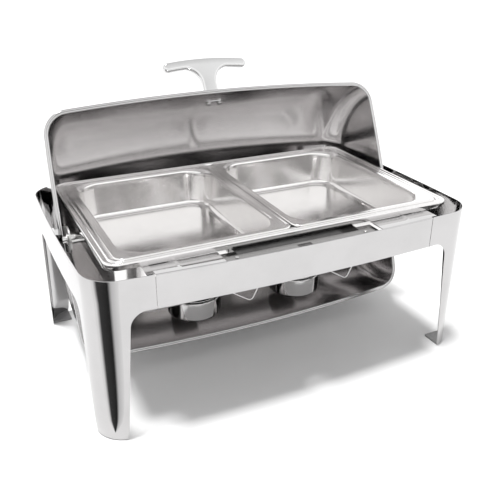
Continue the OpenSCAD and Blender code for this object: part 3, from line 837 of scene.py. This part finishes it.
def burner_cover(mark, centre, pin):
    """Dished disc with an arm that reaches round its pin."""
    eye_r = 0.0068
    z0, z1 = COVER_LO.z, COVER_HI.z
    r = (COVER_HI.y - COVER_LO.y) / 2
    cover = [(0.001, z1 - 0.001), (r - 0.013, z1 - 0.001), (r - 0.010, z0 + 0.0016)]
    cover += [(r - 0.009, z0 + 0.0004), (r - 0.001, z0)]
    cover += arc(r - 0.0006, z0 + 0.0006, 0.0006, 270, 450, 6)
    cover += [(r - 0.008, z0 + 0.0012)] + arc(r - 0.0085, z0 + 0.0024, 0.0012, 250, 180, 3)
    cover += arc(r - 0.0125, z1 - 0.0012, 0.0012, 20, 90, 4) + [(0.001, z1)]
    arm = []
    for z in (z0 + 0.0002, z0 + 0.0014):
        loop = [Vector((pin.x + eye_r * math.sin(a), MID_Y + eye_r * math.cos(a), z))
                for a in [math.pi * i / 12 for i in range(13)]]
        loop += [Vector((centre.x + r - 0.006, MID_Y - eye_r, z)),
                 Vector((centre.x + r - 0.006, MID_Y + eye_r, z))]
        arm.append(loop)
    shape = joined(lathe(cover, centre), loft(arm))
    piece("burner_cover_" + mark + "_disc", shape, "cover_" + mark, ["burner_cover_" + mark],
          BURNER)


def wire_handle(mark):
    """Bent wire from the cover's rear, down to the front and up at its end."""
    lo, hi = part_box("wire_handle_" + mark)
    r = 0.0015
    bottom, back, front = lo.z + r, hi.y - r, lo.y + r
    x0, x1 = lo.x + r, hi.x - r
    span = x1 - x0
    points = [(x0, back, hi.z - r), (x0 + span * 0.187, back - 0.004, hi.z - r),
              (x0 + span * 0.827, front, bottom), (x1, front, bottom + 0.025)]
    shape = tube(rounded_path(points, 0.008), r)
    piece("wire_handle_" + mark + "_wire", shape, "cover_" + mark, ["wire_handle_" + mark],
          BURNER)


# ---------- small CAD parts that keep their shape ----------

KEPT = {
    "front_ledge": LEDGE, "splice_plates": SATIN, "pan_lug_left": SATIN, "pan_lug_right": SATIN,
    "lid_hinge_plate_left": SATIN, "lid_hinge_plate_right": SATIN,
    "burner_hanger_left": SATIN, "burner_hanger_right": SATIN,
    "ledge_rivets": FASTENER, "bracket_studs": FASTENER, "bracket_nuts": FASTENER,
    "pivot_washers": FASTENER, "shaft_clips": FASTENER, "hinge_plate_rivets": FASTENER,
    "handle_screws": FASTENER, "hanger_rivets": FASTENER, "cover_pin_left": FASTENER,
    "cover_pin_right": FASTENER, "pivot_bracket_left": CHROME, "pivot_bracket_right": CHROME,
    "pivot_shaft_left": TURNED, "pivot_shaft_right": TURNED, "spacer_tube_left": TURNED,
    "spacer_tube_right": TURNED, "foot_pads": RUBBER,
}


def paint_kept():
    """Gives each CAD part that stays its own material."""
    for name, material in KEPT.items():
        obj = frame["nodes"][name]
        obj.data.materials.clear()
        obj.data.materials.append(material)


# ---------- stage ----------

FLOOR_GAP = 0.0002

# brightness of the room in reflections, its tone for soft light, and the card's tones by angle
ROOM = 1.5
ROOM_ON_FLOOR = 0.40
CARD_TONES = [(0.0, 0.85), (0.02, 0.85), (0.055, 0.05), (0.155, 0.02), (0.185, 0.6), (0.25, 0.85)]


def floor():
    """Plain white floor, just under the feet."""
    material, _, shader = new_material("floor")
    shader.inputs["Base Color"].default_value = (0.93, 0.93, 0.93, 1)
    shader.inputs["Roughness"].default_value = 0.9
    shader.inputs["Specular IOR Level"].default_value = 0.0
    mesh = bpy.data.meshes.new("floor")
    size = 40
    mesh.from_pydata([(-size, -size, 0), (size, -size, 0), (size, size, 0), (-size, size, 0)],
                     [], [(0, 1, 2, 3)])
    mesh.materials.append(material)
    obj = bpy.data.objects.new("floor", mesh)
    bpy.context.scene.collection.objects.link(obj)
    obj.location.z = -FLOOR_GAP


def corner_card():
    """Card on the floor, seen only in reflections, for the dark line down the front left corner."""
    material, tree, shader = new_material("corner_card")
    place = node(tree, "ShaderNodeTexCoord").outputs["Object"]
    angle = node(tree, "ShaderNodeTexGradient", {"Vector": place}, gradient_type="RADIAL")
    tone = ramp(tree, angle.outputs["Fac"], CARD_TONES)
    tree.links.new(tone, shader.inputs["Base Color"])
    shader.inputs["Roughness"].default_value = 1.0
    shader.inputs["Specular IOR Level"].default_value = 0.0
    size, inside = 3, 0.014
    mesh = bpy.data.meshes.new("corner_card")
    mesh.from_pydata([(0, 0, 0), (-size, 0, 0), (-size, -size, 0), (0, -size, 0)],
                     [], [(0, 1, 2, 3)])
    mesh.materials.append(material)
    obj = bpy.data.objects.new("corner_card", mesh)
    bpy.context.scene.collection.objects.link(obj)
    obj.location = (inside - FRAME_X, MID_Y - FRAME_Y + inside, 2 * FLOOR_GAP)
    obj.visible_camera = False
    obj.visible_diffuse = False
    obj.visible_shadow = False
    obj.visible_transmission = False


def world():
    """Bright room: white to the camera, soft on the floor and brighter in reflections."""
    made = bpy.data.worlds.new("studio")
    made.use_nodes = True
    tree = made.node_tree
    background = tree.nodes["Background"]
    direction = node(tree, "ShaderNodeTexCoord").outputs["Generated"]
    parts = node(tree, "ShaderNodeSeparateXYZ", {"Vector": direction})
    sky = ramp(tree, parts.outputs["Z"], [(0.0, 0.40), (0.25, 0.92), (0.55, 0.95), (1.0, 0.50)])
    path = node(tree, "ShaderNodeLightPath")
    soft = node(tree, "ShaderNodeMix", {"Factor": path.outputs["Is Diffuse Ray"]},
                data_type="RGBA")
    tree.links.new(sky, soft.inputs["A"])
    soft.inputs["B"].default_value = (ROOM_ON_FLOOR, ROOM_ON_FLOOR, ROOM_ON_FLOOR, 1)
    shown = node(tree, "ShaderNodeMix", {"Factor": path.outputs["Is Camera Ray"]},
                 data_type="RGBA")
    tree.links.new(soft.outputs["Result"], shown.inputs["A"])
    shown.inputs["B"].default_value = (1 / ROOM, 1 / ROOM, 1 / ROOM, 1)
    tree.links.new(shown.outputs["Result"], background.inputs["Color"])
    background.inputs["Strength"].default_value = ROOM
    bpy.context.scene.world = made


def sun(name, strength, angle, towards):
    """Sun of that angle in degrees; towards points from the object to the sun."""
    data = bpy.data.lights.new(name, "SUN")
    data.energy = strength
    data.angle = math.radians(angle)
    obj = bpy.data.objects.new(name, data)
    bpy.context.scene.collection.objects.link(obj)
    obj.rotation_mode = "QUATERNION"
    obj.rotation_quaternion = (-Vector(towards)).to_track_quat("-Z", "Y")


def camera():
    """Camera from the front left, above the lid."""
    place = (-0.4446, MID_Y - 0.9170, 0.6354)
    yaw, pitch, roll = math.radians(26.3), math.radians(25.21), math.radians(0.46)
    ahead = Vector((math.sin(yaw) * math.cos(pitch), math.cos(yaw) * math.cos(pitch),
                    -math.sin(pitch)))
    level = Vector((math.cos(yaw), -math.sin(yaw), 0))
    up = level.cross(ahead)
    right = level * math.cos(roll) + up * math.sin(roll)
    up = up * math.cos(roll) - level * math.sin(roll)
    data = bpy.data.cameras.new("camera")
    data.sensor_width = 36
    data.lens = 47.3
    data.clip_end = 100
    obj = bpy.data.objects.new("camera", data)
    bpy.context.scene.collection.objects.link(obj)
    turn = Matrix((right, up, -ahead)).transposed().to_4x4()
    obj.matrix_world = Matrix.Translation(place) @ turn
    bpy.context.scene.camera = obj


camera()
world()
floor()
sun("overhead", 2.8, 10, (-0.14, 0.02, 1.0))
corner_card()

end_frame(-1)
end_frame(1)
front_rail()
rear_rail()
lid_shell()
lid_rim()
lid_handle()
water_pan()
food_pan(-1)
food_pan(1)
burner(-1)
burner(1)
paint_kept()

bpy.context.scene.view_settings.view_transform = "Standard"
